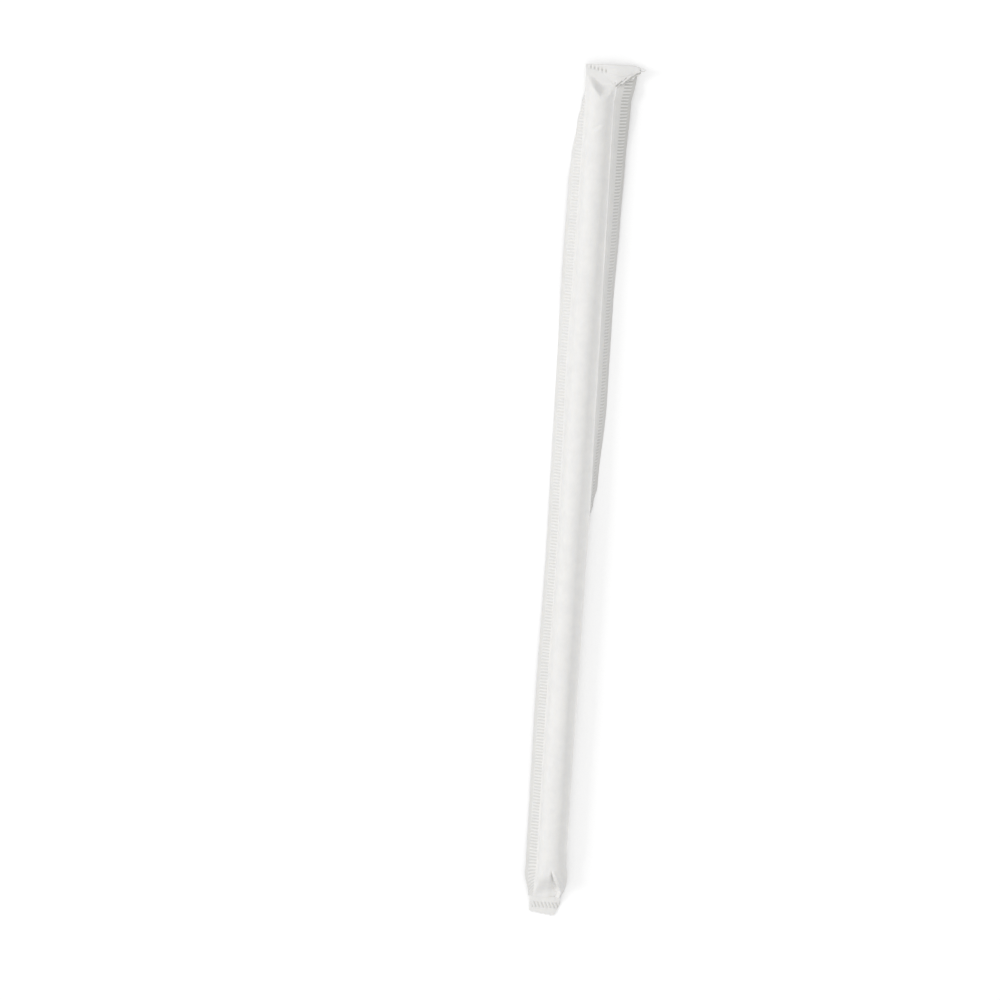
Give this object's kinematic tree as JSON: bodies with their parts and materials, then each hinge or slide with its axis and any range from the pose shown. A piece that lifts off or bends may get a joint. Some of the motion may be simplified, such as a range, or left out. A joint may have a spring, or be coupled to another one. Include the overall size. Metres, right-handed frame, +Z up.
{
  "type": "wrapped drinking straw",
  "caption": "Straight drinking straw sealed in a white paper sleeve with knurled edges and folded, toothed ends, lying on its flat underside",
  "frame": {"origin": "on the table under the middle of the box round the pack", "axes": "+Z up from the table, +Y along the straw towards its head, whose end seal is folded forward, +X to the right"},
  "size_m": [0.017, 0.2188, 0.0063],
  "materials": {
    "sleeve_paper": "matt, thin white paper with a faint fibre"
  },
  "bodies": {
    "root": {"wrapped_straw": "sleeve_paper"}
  },
  "joints": []
}
